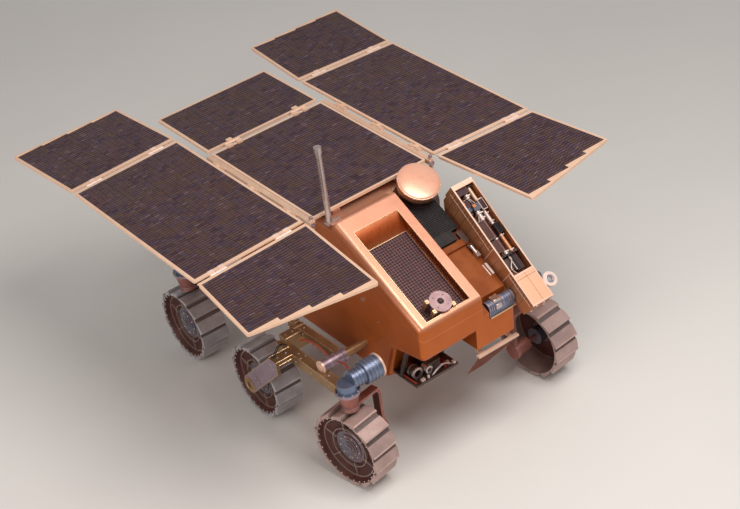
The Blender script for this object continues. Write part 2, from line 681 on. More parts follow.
def wheel_face():
    """The rim's flange and the dished web, as one profile turned about the axle."""
    outside = WHEEL_HALF - 0.004
    profile = [(0.018, DISH + 0.002), (0.034, DISH + 0.001), (0.060, DISH), (0.100, DISH + 0.003),
               (0.118, DISH + 0.012), (0.1235, outside - 0.002), (0.125, outside), (STRIP_INSIDE, outside),
               (STRIP_INSIDE, outside - 0.003), (0.1265, outside - 0.004), (0.120, DISH + 0.009),
               (0.101, DISH - 0.001), (0.060, DISH - 0.004), (0.018, DISH - 0.004)]
    return turned(profile, 64, ring=True)


def hoop(radius, width, thickness, bottom):
    """A thin band on edge, turned about the axle."""
    return turned([(radius, bottom), (radius + thickness, bottom), (radius + thickness, bottom + width),
                   (radius, bottom + width)], 56, ring=True)


def wheel_springs():
    """Two hoops and six spokes of thin strip, standing on the web."""
    spoke = block((0.0620, -0.0009, DISH), (0.1245, 0.0009, DISH + 0.010))
    turns = np.stack([turn_about("z", 20 + 60 * k) for k in range(6)])
    return [hoop(0.110, 0.011, 0.0018, DISH + 0.001), hoop(0.074, 0.010, 0.0014, DISH),
            copies(spoke, np.zeros((6, 3)), turns)]


def wheel_hub(capped):
    """Wide stepped hub with grooves; a middle wheel's hub is open for its axle, which comes from outside."""
    back = -0.040
    cap = [(0.015, 0.013), (0.0145, 0.0160), (0.008, 0.0168), (0.0072, 0.0142), (0.001, 0.0140)]
    bored = [(0.0098, 0.010), (0.0098, back)]
    profile = [(0.030, back), (0.030, -0.005), (0.0620, -0.002), (0.0620, 0.0035), (0.0605, 0.0048),
               (0.0560, 0.0048), (0.0550, 0.0032), (0.0485, 0.0032), (0.0480, 0.0068), (0.0465, HUB_STEP),
               (0.0380, HUB_STEP), (0.0370, 0.0060), (0.0345, 0.0060), (0.0340, 0.0100), (0.0300, 0.0100),
               (0.0290, HUB_STEP), (0.0240, HUB_STEP), (0.0230, 0.0112), (0.0185, 0.0122)]
    if capped:
        return turned(np.array([(0.001, back), *profile, *cap]) + (0, DISH), 40)
    return turned(np.array([*profile, *bored]) + (0, DISH), 40, ring=True)


def wheel_frame(name):
    """Where a wheel stands: turn and place that carry local (x, outward y, z) into the rover's frame."""
    spin = joints[name + "_spin"]
    axis = np.array(spin["axis"], float)
    side = 1.0 if spin["pos_m"][1] > 0 else -1.0
    outwards = axis * side
    forward = np.cross(axis, (0, 0, 1.0))
    return np.column_stack([forward, outwards, (0, 0, 1)]), np.array(spin["pos_m"], float)


up_to_y = turn_about("x", -90)
for wheel in ("front_right", "front_left", "middle_right", "middle_left", "rear_right", "rear_left"):
    turn, place = wheel_frame(wheel)
    strip_look = "strip_metal" if wheel.startswith("front") else "strip_cool"
    wheel_pieces = (
        # start of the name, shapes, drawn about Z, finish, slot, start of the node it replaces, crease
        ("strip_", [wheel_strip()], False, strip_look, "wheel_strip", "tread_", 25),
        ("folds_", [lug_folds()], False, "strip_edge", "wheel_strip", None, 35),
        ("grooves_", [lug_grooves()], False, "groove_grey", "wheel_strip", None, 35),
        ("web_", [wheel_face()], True, "wheel_web", "wheel_inside", "wheel_centre_", 35),
        ("springs_", wheel_springs(), True, "hoop_metal", "wheel_inside", None, 35),
        ("hub_", [wheel_hub(not wheel.startswith("middle"))], True, "hub_metal", "wheel_inside", None, 35),
        ("studs_", [rim_studs()], False, "white_paint", "wheel_inside", None, 35),
    )
    for start, shapes, about_z, look, slot, replaced, crease in wheel_pieces:
        if about_z:
            shapes = [moved(shape, up_to_y) for shape in shapes]
        piece(start + wheel, [moved(shape, turn, place) for shape in shapes], look, wheel + "_wheel",
              [replaced + wheel] if replaced else (), crease)
print("wheel strip points", len(wheel_strip()[0]))

# %% [markdown]
# ## Colours that follow the direction
# The copper body is pale where it faces the sky and orange-brown on its sides, and a panel is cream on top
# and dark below. Both are one finish whose colour goes over to a second one with the piece's own normal, so
# the change stays with the piece when it folds.

# %% Colours that follow the direction
DECK_FALL = 0.230 / 0.420
DECK_SLOPE = math.atan(DECK_FALL)
DECK_START, DECK_TOP = 0.375, 0.808


def facing(source, name, low, high, colour, other, size, sunk=None):
    """A copy of a finish that goes over to two other tints as the own normal's z goes from low to high.
    With sunk, what faces up and lies over 30 mm under the deck's plane takes that colour: the depth is
    (deck_z - z) cos(slope), a dot product with the deck's downward normal."""
    material = finish[source].copy()
    material.name = name
    tree = material.node_tree
    socket = tree.nodes["Principled BSDF"].inputs["Base Color"]
    before = socket.links[0].from_socket
    own = node(tree, "ShaderNodeTexCoord").outputs
    place, tilt = own["Object"], part_of(tree, own["Normal"], 2)
    upper = clouded(tree, place, size, colour, other, 0.6)
    if sunk:
        down = (-math.sin(DECK_SLOPE), 0, -math.cos(DECK_SLOPE))
        depth = dotted(tree, place, down)
        level = (DECK_START * DECK_FALL + DECK_TOP) * math.cos(DECK_SLOPE)
        ahead = between(tree, part_of(tree, place, 0), 0.33, 0.36)
        deep = product(tree, between(tree, depth, 0.030 - level, 0.034 - level), ahead)
        upper = mixed(tree, deep, upper, clouded(tree, place, 9, sunk, (0.36, 0.105, 0.026), 0.7))
    tree.links.new(mixed(tree, between(tree, tilt, low, high), before, upper), socket)
    finish[name] = material
    return material


for node_name in ("body_tub", "deck_frame"):
    look = facing("copper_skin", "skin_" + node_name, 0.10, 0.84, (0.76, 0.36, 0.235), (0.68, 0.30, 0.18), 7,
                  (0.23, 0.050, 0.008))
    paint(nodes[node_name], look)
panel_look = facing("panel_cream", "panel_frame", -0.3, -0.9, (0.15, 0.095, 0.075), (0.11, 0.07, 0.055), 9)
for node_name, solid in nodes.items():
    if node_name.endswith("_panel"):
        paint(solid, panel_look)
print("two-way finishes", len(finish))

# %% [markdown]
# ## Solar cells
# A panel is a shallow cream tray. In it lie strings of small dark cells, bricks of about 20 by 9 mm with a
# black gap between one row and the next, on a thin dark backing. A brick lies between two lines that run from
# the panel's near edge to its far edge, so the same few lines fill the square panels and the flared flaps. A
# flap's strings end square, and so its slanted frame shows as a row of small wedges. Every brick carries a
# random value, which its material turns into a tint, and wide soft patches tint whole groups of bricks.

# %% Solar cells
PANEL_EDGE = 0.009
STRINGS, COLUMNS = 4, 5
CELL_LENGTH, CELL_GAP, RIB_PITCH = 0.0131, 0.0042, 0.0065
WING_NEAR, WING_FAR = 0.276, 0.705
WING_DROOP = 2.2  # degrees
wing_axis = np.array(joints["left_wing_fold"]["pos_m"], float)
panel_table = (
    # name, body, near inner, near outer, far inner, far outer, top, wedge at a string's end
    ("centre_mid", "chassis", (-0.297, -0.24), (-0.297, 0.24), (0.314, -0.24), (0.314, 0.24), 0.818, 0.0),
    ("centre_rear", "rear_panel", (-0.321, -0.24), (-0.321, 0.24), (-0.663, -0.24), (-0.663, 0.24), 0.818,
     0.0),
    ("mid", "wing", (-0.467, WING_NEAR), (-0.467, WING_FAR), (0.307, WING_NEAR), (0.307, WING_FAR), 0.824,
     0.0),
    ("front", "front_flap", (0.331, WING_NEAR), (0.331, WING_FAR), (0.773, 0.316), (0.669, 0.745), 0.824,
     0.019),
    ("rear", "rear_flap", (-0.491, WING_NEAR), (-0.491, WING_FAR), (-0.849, 0.304), (-0.874, 0.733), 0.824,
     -0.007),
)


def cell_finish():
    """Glossy cells: a tint from each brick's own value and from patches, ribs from sin(2 pi x / pitch)."""
    material, tree, shader = new_material("solar_cell")
    place = object_place(tree)
    turns = product(tree, part_of(tree, place, 0), 2 * math.pi / RIB_PITCH)
    rib = between(tree, computed(tree, "SINE", turns), -1, 1)
    value = node(tree, "ShaderNodeAttribute", attribute_name="tint").outputs["Fac"]
    tint = colour_ramp(tree, value, (
        (0.0, (0.040, 0.012, 0.022)), (0.22, (0.072, 0.032, 0.058)), (0.42, (0.078, 0.048, 0.070)),
        (0.60, (0.100, 0.036, 0.038)), (0.76, (0.098, 0.052, 0.030)), (0.90, (0.080, 0.030, 0.058)),
        (1.0, (0.150, 0.090, 0.105))))
    brown = product(tree, between(tree, noise(tree, place, 9, 3), 0.50, 0.66), 0.6)
    patched = mixed(tree, brown, tint, (0.090, 0.040, 0.024, 1))
    ribbed = mixed(tree, between(tree, rib, -1.5, 1), (0.030, 0.010, 0.018, 1), patched)
    grains = effect(tree, grain, {"Place": place, "Stretch": (300, 40, 40), "Roughness": 0.42,
                                  "Spread": 0.2})
    wire(tree, shader, dusted(tree, place, 0.05, ribbed), grains["Roughness"], 0.15, 0.001, rib)
    return material


def panel_quads(corners, low, high, far_low, far_high, rows, gap):
    """Quads (rows, 4, 2) between the panel's lines at the shares low and high. The line at share u runs
    from near_in + (near_out - near_in) u to far_in + (far_out - far_in) u, less a margin at each end."""
    near_in, near_out, far_in, far_out = (np.array(corner, float) for corner in corners)
    ends = []
    for share, margin in ((low, far_low), (high, far_high)):
        start = near_in + (near_out - near_in) * share
        line = far_in + (far_out - far_in) * share - start
        length = np.linalg.norm(line)
        marks = np.linspace(PANEL_EDGE, length - margin, rows + 1)
        ends.append([start + line * ((edge + shift) / length)[:, None]
                     for edge, shift in ((marks[:-1], gap / 2), (marks[1:], -gap / 2))])
    (low_near, low_far), (high_near, high_far) = ends
    return np.stack([low_near, high_near, high_far, low_far], 1)


def slabs(quads, bottom, top, inset):
    """A thin closed slab on each quad; its top is drawn in towards the middle."""
    middle = quads.mean(1, keepdims=True)
    upper = middle + (quads - middle) * inset
    points = np.concatenate([np.dstack([quads, np.full(quads.shape[:2], bottom)]),
                             np.dstack([upper, np.full(quads.shape[:2], top)])], 1).reshape(-1, 3)
    base = np.arange(len(quads))[:, None] * 8
    rows = ((3, 2, 1, 0), (4, 5, 6, 7), (0, 1, 5, 4), (1, 2, 6, 5), (2, 3, 7, 6), (3, 0, 4, 7))
    return outward(points, [np.concatenate([base + np.array(row) for row in rows])])


def panel_cells(corners, top, wedge):
    """The bricks and the backing of one panel."""
    width = math.dist(corners[0], corners[1])
    side = PANEL_EDGE / width
    shares = np.linspace(side, 1 - side, STRINGS + 1)
    bricks, backing = [], []
    for low, high in zip(shares[:-1], shares[1:]):
        margins = np.array([max(wedge, 0), max(-wedge, 0)]) + PANEL_EDGE
        hem = 0.0005 / width
        backing.append(panel_quads(corners, low, high, *margins, 1, 0.0))
        lines = np.linspace(low + hem, high - hem, COLUMNS + 1)
        for k in range(COLUMNS):
            margin = margins[0] + (margins[1] - margins[0]) * (k + 0.5) / COLUMNS
            length = (math.dist(corners[0], corners[2]) * (1 - lines[k])
                      + math.dist(corners[1], corners[3]) * lines[k])
            rows = round((length - PANEL_EDGE - margin) / CELL_LENGTH)
            bricks.append(panel_quads(corners, lines[k] + 0.3 * hem, lines[k + 1] - 0.3 * hem, margin, margin,
                                      rows, CELL_GAP))
    bricks = np.concatenate(bricks)
    return (slabs(bricks, top - 0.0006, top - 0.0001, 0.93),
            slabs(np.concatenate(backing), top - 0.00095, top - 0.0006, 1.0))


finish["solar_cell"] = cell_finish()
mirror_y = np.diag((1.0, -1.0, 1.0))
random = np.random.default_rng(11)


def onto_wing(shape, side):
    """A shape drawn on the flat left wing, mirrored for the right one and drooped about its hinge."""
    if side < 0:
        shape = moved(shape, mirror_y)
    axis = wing_axis * (1, side, 1)
    droop = turn_about("x", -side * WING_DROOP)
    return moved(shape, droop, axis - droop @ axis)


cell_count = 0
for name, body, *corners, top, wedge in panel_table:
    cells, backing = panel_cells(corners, top, wedge)
    for side, label in ((-1, "right_"), (1, "left_")) if body.endswith(("wing", "flap")) else ((0, ""),):
        placed = [onto_wing(shape, side) if side else shape for shape in (cells, backing)]
        made = piece("cells_" + label + name, [placed[0]], "solar_cell", label + body,
                     crease=20)
        count = len(cells[0]) // 8
        values = np.repeat(random.random(count), 8).astype(np.float32)
        made.data.attributes.new("tint", "FLOAT", "POINT").data.foreach_set("value", values)
        piece("backing_" + label + name, [placed[1]], "cell_backing", label + body)
        cell_count += count
print("cells", cell_count)

# %% [markdown]
# ## Hinge clips
# Pinkish white clips sit on the fold lines of each wing. Each is a short sleeve round the hinge's own axis,
# with a flat tongue on the frame beside it, so that nothing changes place when the flap turns.

# %% Hinge clips


def sleeve(place, axis, length, radius, sides=12):
    """A closed round bar centred at place, along x or y."""
    bar = turned([(radius * 0.2, -length / 2), (radius, -length / 2), (radius, length / 2),
                  (radius * 0.2, length / 2)], sides)
    return moved(bar, turn_about("y", 90) if axis == "x" else turn_about("x", -90), place)


def fold_clips(axis_x, toward):
    """Clips of a wing's fold at axis_x, on the frame that lies toward (-1 or +1 along X)."""
    shapes = []
    near, far = sorted((axis_x + toward * 0.011, axis_x + toward * 0.021))
    for share in (0.2, 0.8):
        y = WING_NEAR + (WING_FAR - WING_NEAR) * share
        centres = (0.0,) if toward * (1 if axis_x > 0 else -1) > 0 else (-0.0205, 0.0205)
        for centre in (y + shift for shift in centres):
            shapes.append(sleeve((axis_x, centre, 0.819), "y", 0.0196, 0.0066))
            shapes.append(block((near, centre - 0.0098, 0.8236), (far, centre + 0.0098, 0.8254)))
            shapes.append(moved(turned([(0.0022, 0), (0.0022, 0.001), (0.0004, 0.0014)], 6),
                                place=(axis_x + toward * 0.0165, centre, 0.8254)))
    return shapes


def fold_lip(axis_x, toward):
    """The frame's folded lip, which narrows the gap at a fold from 24 to 15 mm."""
    near, far = sorted((axis_x + toward * 0.0075, axis_x + toward * 0.0121))
    return block((near, 0.2762, 0.8190), (far, 0.7048, 0.8239))


for side, label in ((-1, "right_"), (1, "left_")):
    for axis_x, end in ((0.319, "front"), (-0.479, "rear")):
        away = 1 if axis_x > 0 else -1
        for body, toward in ((label + end + "_flap", away), (label + "wing", -away)):
            piece(f"lip_{body}_{end}", [onto_wing(fold_lip(axis_x, toward), side)], "panel_cream",
                  body)
            shapes = [onto_wing(shape, side) for shape in fold_clips(axis_x, toward)]
            piece(f"clips_{body}_{end}", shapes, "white_paint", body)

# %% [markdown]
# ## Window in the deck
# The deck slopes, so its pieces are drawn flat round the window's middle and then laid on it with one
# turn about Y. The walls get thin copper liners, the rim a gold edge, and the radiator a mesh of crossing
# bars. The disc stands over the lower end on copper brackets.

# %% Window in the deck
deck_turn = turn_about("y", math.degrees(DECK_SLOPE))


def on_deck(shape, x, y, lift=0.0):
    """Carries a shape drawn flat at the origin onto the sloped deck, lift above the point at x and y."""
    height = DECK_TOP - (x - DECK_START) * DECK_FALL + lift * math.cos(DECK_SLOPE)
    place = (x + lift * math.sin(DECK_SLOPE), y, height)
    return moved(shape, deck_turn, place)


WINDOW_MIDDLE, DISC_PLACE = (0.6055, -0.0755), (0.746, -0.082, 0.009)
HALF_LONG, HALF_WIDE = 0.1725 / math.cos(DECK_SLOPE), 0.0895
FLOOR_DEPTH, WALL_FOOT, WALL_THICK = -0.039, -HALF_LONG + 0.062, 0.0008


def window_piece(name, shapes, look):
    """A piece drawn round the middle of the window."""
    return piece(name, [on_deck(shape, *WINDOW_MIDDLE) for shape in shapes], look)


def frame_bars(long, wide, width, low, high):
    """Four bars round a rectangle from (long[0], -wide) to (long[1], wide), outside it."""
    a, b = long
    return [block((a - width, -wide - width, low), (b + width, -wide, high)),
            block((a - width, wide, low), (b + width, wide + width, high)),
            block((a - width, -wide, low), (a, wide, high)), block((b, -wide, low), (b + width, wide, high))]


rim = frame_bars((-HALF_LONG, HALF_LONG), HALF_WIDE, 0.0026, -0.0002, 0.0014)
window_piece("window_rim", rim, "gold_rim")
walls = []
for side in (-1, 1):
    inner = side * (HALF_WIDE - WALL_THICK)
    outline = [(-HALF_LONG, 0.0), (HALF_LONG, 0.0), (HALF_LONG, FLOOR_DEPTH), (WALL_FOOT, FLOOR_DEPTH)]
    walls.append(carried(outline, 1, (inner, side * HALF_WIDE)))
walls.append(block((HALF_LONG - WALL_THICK, -HALF_WIDE, FLOOR_DEPTH), (HALF_LONG, HALF_WIDE, 0)))
slope = [(-HALF_LONG, 0.0), (-HALF_LONG + 0.0012, 0.0), (WALL_FOOT + 0.0012, FLOOR_DEPTH),
         (WALL_FOOT, FLOOR_DEPTH)]
walls.append(carried(slope, 1, (-HALF_WIDE, HALF_WIDE)))
window_piece("window_walls", walls, "wall_copper")

near, far, half = WALL_FOOT + 0.004, HALF_LONG - 0.004, HALF_WIDE - 0.004
foot = frame_bars((near, far), half, 0.0022, FLOOR_DEPTH, FLOOR_DEPTH + 0.0028)
window_piece("window_foot", foot, "gold_rim")
LONG_BARS, CROSS_BARS, BAR_HALF, BAR_TOP = 17, 33, 0.0010, FLOOR_DEPTH + 0.0022
long_lines = np.linspace(-half, half, LONG_BARS)
cross_lines = np.linspace(near, far, CROSS_BARS)
bars = [copies(block((near, -BAR_HALF, FLOOR_DEPTH), (far, BAR_HALF, BAR_TOP)),
               np.stack([0 * long_lines, long_lines, 0 * long_lines], -1)),
        copies(block((-BAR_HALF, -half, FLOOR_DEPTH), (BAR_HALF, half, BAR_TOP + 0.0003)),
               np.stack([cross_lines, 0 * cross_lines, 0 * cross_lines], -1))]
window_piece("radiator_mesh", bars, "mesh_bar")

disc = [turned([(0.0112, -0.003), (0.0385, -0.003), (0.039, -0.002), (0.039, 0.0022), (0.0380, 0.0030),
                (0.0345, 0.0030), (0.0338, 0.0022), (0.0175, 0.0022), (0.0168, 0.0034), (0.0118, 0.0034),
                (0.0112, 0.0028)], 56, ring=True)]
disc += [standing_box(0, side * 0.0273, 0.009, 0.009, -0.046, -0.0028) for side in (-1, 1)]
screw = turned([(0.0019, 0), (0.0019, 0.0012), (0.0012, 0.0018), (0.0003, 0.0019)], 8)
places = circle_places(0.026, np.radians((35, 125, 215, 305)), 0.0022)
brackets = []
for u, v in ((-0.020, -0.040), (0.021, -0.040), (0.028, 0.033)):
    brackets += [standing_box(u, v, 0.014, 0.012, -0.047, 0.002),
                 moved(screw, np.eye(3) * 1.3, (u, v, 0.002))]
for name, shapes, look, slot, replaced in (
        ("disc", disc, "disc_metal", "pale_metal", ["window_ring"]),
        ("disc_screws", [copies(screw, places)], "dark_steel", "dark_metal", ()),
        ("disc_brackets", brackets, "gold_rim", "pale_copper", ())):
    piece(name, [on_deck(shape, *DISC_PLACE) for shape in shapes], look, stands_for=replaced)

# %% [markdown]
# ## Antenna drum and ribbed block
# The drum is a satin domed cap on a shallow can, over a dark neck, and it lies square to the deck. Its shape
# is one profile turned about Z and then laid on the deck. A flange closes the deck round its neck. The ribbed
# block is a black heat sink that reaches up to the neck: rows of low fins, and on them a grid of small studs.

# %% Antenna drum and ribbed block
DRUM_CENTRE = np.array((0.405, 0.137, 0.820))
CAN_RADIUS, NECK_RADIUS, LOWER_DECK = 0.0755, 0.0680, -0.070


def on_drum(shape):
    """Carries a shape drawn about Z, with z = 0 at the cap's rim, onto the sloped drum."""
    return moved(shape, deck_turn, DRUM_CENTRE)


def under_drum(shape):
    """Carries a shape onto the deck straight below the drum."""
    return on_deck(shape, DRUM_CENTRE[0], DRUM_CENTRE[1])


share = np.linspace(0, 1, 12)[:, None]
dome = np.hstack([(CAN_RADIUS - 0.003) * np.sqrt(1 - share ** 2) + 0.0005, -0.0015 + 0.0110 * share])
shoulder = CAN_RADIUS - 0.0008
cap = np.vstack([[(CAN_RADIUS - 0.004, -0.0040), (CAN_RADIUS - 0.0012, -0.0035), (shoulder, -0.0020)], dome])
can = [(0.001, -0.0300), (NECK_RADIUS, -0.0300), (CAN_RADIUS - 0.0018, -0.0260), (shoulder, -0.0240),
       (shoulder, -0.0050), (CAN_RADIUS - 0.0035, -0.0042), (0.001, -0.0042)]
neck = [(0.001, -0.112), (NECK_RADIUS, -0.112), (NECK_RADIUS, -0.060), (NECK_RADIUS - 0.0025, -0.057),
        (NECK_RADIUS - 0.0025, -0.052), (NECK_RADIUS, -0.049), (NECK_RADIUS, -0.030), (0.001, -0.030)]
piece("drum_cap", [on_drum(turned(cap, 72))], "drum_cap", crease=50)
piece("drum_can", [on_drum(turned(can, 72))], "drum_side", stands_for=["antenna_drum"],
      crease=40)
flange = turned([(0.002, LOWER_DECK - 0.004), (0.082, LOWER_DECK - 0.004), (0.082, LOWER_DECK + 0.0016),
                 (0.080, LOWER_DECK + 0.0022), (0.002, LOWER_DECK + 0.0022)], 64)
piece("drum_neck", [on_drum(turned(neck, 72)), under_drum(flange)], "dark_steel", crease=40)
cap_bolts = copies(turned([(0.0022, -0.001), (0.0022, 0.0012), (0.0004, 0.0018)], 8),
                   circle_places(0.0738, round_angles(14), -0.0032))
piece("drum_bolts", [on_drum(cap_bolts)], "bare_metal")

FIN_PITCH, FIN_TOP, STEP_TOP = 0.0074, 0.0237, 0.0122
block_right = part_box("ribbed_block")[0].y
FIN_FRONT, FIN_REAR, FIN_LEFT = 0.170, -0.010, 0.187
fin_u, fin_v = np.meshgrid(np.arange(FIN_REAR, FIN_FRONT - 0.003, FIN_PITCH),
                           np.arange(block_right + 0.004, FIN_LEFT - 0.003, FIN_PITCH))
neck_u = -0.0555
from_neck = np.hypot(fin_u - neck_u, fin_v - DRUM_CENTRE[1])
studded = from_neck > NECK_RADIUS + 0.007
fins = np.stack([fin_u[studded], fin_v[studded] - DRUM_CENTRE[1], np.full(studded.sum(), FIN_TOP)], -1)
stud = loft(np.array([[(u * s, v * s, w) for u, v in ((-1, -1), (1, -1), (1, 1), (-1, 1))]
                      for s, w in ((0.0026, -0.003), (0.0019, 0.0040))]))
rows = []
for v in fin_v[:, 0]:
    offset = v - DRUM_CENTRE[1]
    reach = max((NECK_RADIUS + 0.003) ** 2 - offset ** 2, 0) ** 0.5
    first = max(neck_u + reach, FIN_REAR)
    rows.append(block((first, offset - 0.0031, 0.0), (FIN_FRONT, offset + 0.0031, FIN_TOP)))
    rows.append(block((first + 0.002, offset + 0.0030, 0.0),
                      (FIN_FRONT - 0.002, offset + 0.0044, FIN_TOP - 0.004)))
step_u, step_v = np.meshgrid(FIN_FRONT + 0.010 + FIN_PITCH * np.arange(4), fin_v[:11, 0] - DRUM_CENTRE[1])
step_fins = np.stack([step_u.ravel(), step_v.ravel(), np.full(step_u.size, STEP_TOP)], -1)
right_edge = block_right - DRUM_CENTRE[1]
rows += [block((u - 0.0013, right_edge - 0.003, 0.0), (u + 0.0013, right_edge + 0.001, FIN_TOP - 0.001))
         for u in np.arange(FIN_REAR + 0.045, FIN_FRONT - 0.003, FIN_PITCH)]
block_shapes = [under_drum(moved(shape, place=(0, 0, LOWER_DECK)))
                for shape in (copies(stud, fins), *rows, copies(stud, step_fins))]
piece("block_fins", block_shapes, "black_fins")
print("studs", int(studded.sum()))

# %% [markdown]
# ## Drill box
# The drill box is a thin-walled tray with rods and carriages in it. The drill's own axes are x down the box
# and z out of its top. The tray's walls get pale rims, a ladder strip between two bright lines on the body's
# side, and panel seams under it, all as thin bars. The carriages keep their CAD solids, and one material
# colours them by how far down the box they stand.

# %% Drill box
DRILL_LENGTH, DRILL_WIDTH = 0.484, 0.088
DRILL_SLOPE = 38.7  # degrees
BETWEEN_RODS = 0.0602
drill_turn = turn_about("y", DRILL_SLOPE)
drill_corner = np.array((0.495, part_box("drill_tray")[0].y, 0.803))


def on_drill(shape):
    """Carries a shape drawn in the drill's axes, with y from its right side, into the rover's frame."""
    return moved(shape, drill_turn, drill_corner)


def drill_piece(name, shapes, look, crease=35):
    """A piece drawn in the drill's axes, which rides on the drill box."""
    return piece(name, [on_drill(shape) for shape in shapes], look, "drill_box", crease=crease)


def drill_bars(name, rows, look):
    """Boxes of one finish, each a row of (x0, x1, y0, y1, z0, z1) in millimetres."""
    drill_piece(name, [block((a / 1000, c / 1000, e / 1000), (b / 1000, d / 1000, f / 1000))
                       for a, b, c, d, e, f in rows], look)


def in_the_drill(tree):
    """The place down the box, over its top and across it, from Object coordinates: (P - corner) . axis."""
    from_corner = node(tree, "ShaderNodeVectorMath", {0: object_place(tree), 1: tuple(drill_corner)},
                       operation="SUBTRACT").outputs[0]
    along, over = (dotted(tree, from_corner, tuple(drill_turn[:, axis])) for axis in (0, 2))
    return along, over, part_of(tree, from_corner, 1)


PURPLE, WHITE_ROD, NEAR_BLACK = (0.062, 0.024, 0.028), (0.62, 0.50, 0.47), (0.014, 0.010, 0.012)
BROWN, BLUE_GREY, COPPER_ROD = (0.085, 0.032, 0.026), (0.10, 0.11, 0.15), (0.55, 0.24, 0.12)
right_stops = ((0, PURPLE), (0.084, WHITE_ROD), (0.116, PURPLE), (0.172, BLUE_GREY), (0.226, WHITE_ROD),
               (0.30, BROWN), (0.457, WHITE_ROD), (0.464, BROWN), (0.561, WHITE_ROD), (0.588, NEAR_BLACK))
left_stops = ((0, NEAR_BLACK), (0.050, (0.60, 0.40, 0.28)), (0.161, PURPLE), (0.240, WHITE_ROD),
              (0.359, NEAR_BLACK), (0.438, COPPER_ROD), (0.588, PURPLE))
look = metal_finish(("rod_pieces", PURPLE, PURPLE, 20, 0, (0.55, 0.42, 0.40), 0.55, 0.4, 0.36, EVEN, 0.05,
                     0.03))
tree = look.node_tree
along, over, across = in_the_drill(tree)
share_down = computed(tree, "DIVIDE", along, DRILL_LENGTH)
side = computed(tree, "GREATER_THAN", across, BETWEEN_RODS)
coloured = mixed(tree, side, colour_ramp(tree, share_down, right_stops, "CONSTANT"),
                 colour_ramp(tree, share_down, left_stops, "CONSTANT"))
worn_place = effect(tree, worn, {"Radius": 0.0016, "Amount": 0.5})
tree.links.new(mixed(tree, worn_place["Mask"], coloured, (0.60, 0.46, 0.43, 1)),
               tree.nodes["Principled BSDF"].inputs["Base Color"])
paint(nodes["drill_rods"], look)

look = finish["tan_side"].copy()
look.name = "tray_wall"
tree = look.node_tree
along, over, across = in_the_drill(tree)
socket = tree.nodes["Principled BSDF"].inputs["Base Color"]
outer = socket.links[0].from_socket
inner = clouded(tree, object_place(tree), 22, (0.50, 0.17, 0.06), (0.16, 0.05, 0.02), 0.9)
inside = product(tree, between(tree, across, 0.003, 0.004), between(tree, over, -0.0005, -0.0045))
top = product(tree, between(tree, over, -0.0012, -0.0006), between(tree, across, 0.0, 0.001))
lined = mixed(tree, inside, outer, inner)
tree.links.new(mixed(tree, top, lined, (0.86, 0.44, 0.28, 1)), socket)
paint(nodes["drill_tray"], look)
paint(nodes["drill_side_box"], finish["tan_side"])

drill_bars("tray_rims", [(0, 366, 0, 5.2, -0.6, 0.9), (0, 366, 82.8, 88, -0.6, 0.9),
                         (0, 16, 5.2, 82.8, 0, 0.9), (364, 370, 1, 87, -0.4, 1.6),
                         (368, 484, 0, 3.4, -0.4, 0.9), (368, 484, 84.6, 88, -0.4, 0.9),
                         (479, 484, 3.4, 84.6, -0.4, 0.9)], "pale_rim")
drill_bars("side_lines", [(14, 248, -0.9, 0.4, -29.4, -26.8), (352, 478, -0.9, 0.4, -20.4, -18.0),
                          (250, 253, -0.9, 0.4, -118, -4), (348, 351, -0.9, 0.4, -81, -3)],
           "pale_rim")
rungs = [(x, x + 1.6, -0.7, 0.3, -26.8, -2.5) for x in range(18, 246, 15)]
rungs += [(x, x + 1.6, -0.7, 0.3, -18.0, -2.5) for x in range(356, 478, 13)]
drill_bars("side_ladder", rungs, "dark_steel")
seams = [(x, x + 1.0, -0.5, 0.3, -(84 + 0.9 * min(x, 42)) if x < 42 else -(120 - 0.17 * x), -31)
         for x in (38, 72, 108, 144, 180, 216)]
seams += [(x, x + 1.0, -0.5, 0.3, -80, -22) for x in (288, 318, 382, 412, 442)]
drill_bars("side_seams", seams, "seam_dark")
drill_bars("cover_seams", [(384, 385.2, 3.4, 84.6, -0.3, 0.3), (370, 480, 46, 47, -0.3, 0.25)], "seam_dark")
drill_bars("carriage_frames", [
    (76, 118, 60.6, 62, -12, -8.6), (76, 118, 80, 81.4, -12, -8.6), (76, 78, 60.6, 81.4, -12, -8.6),
    (116, 118, 60.6, 81.4, -12, -8.6), (46, 50, 38, 56, -30, -16), (118, 122, 36, 58, -36, -15),
    (136, 140, 38, 56, -34, -17), *((x, x + 3, 63, 79, -34, -19) for x in (128, 160, 218)),
    (276, 280, 63, 79, -34, -19), (274, 278, 38, 56, -34, -17), (296, 346, 44, 46.5, -30, -22)],
    "white_paint")
drill_bars("drill_bits", [(86, 96, 35, 45, -12, -8.6), (64, 70, 12, 20, -24, -20)], "orange_copper")
drill_bars("drill_boxes", [(146, 150, 9, 39, -14.5, -11), (216, 220, 9, 39, -14.5, -11),
                           (100, 112, 6, 30, -50, -30), (122, 140, 8, 32, -52, -36),
                           (296, 340, 8, 38, -50, -26)], "dark_steel")
share = np.linspace(0, 1, 26)
cable = np.stack([0.284 + 0.078 * share, 0.041 + 0.010 * np.sin(7 * share) - 0.012 * share,
                  -0.020 - 0.006 * np.cos(5 * share)], -1)
lead = np.stack([0.054 + 0.100 * share, 0.036 + 0.014 * np.sin(4 * share), -0.019 - 0.008 * share], -1)
leads = [tube(cable, 0.0020, 8), tube(lead, 0.0012, 6), tube(lead + (0.004, 0.006, 0.002), 0.0012, 6)]
drill_piece("drill_leads", leads, "white_paint", 60)

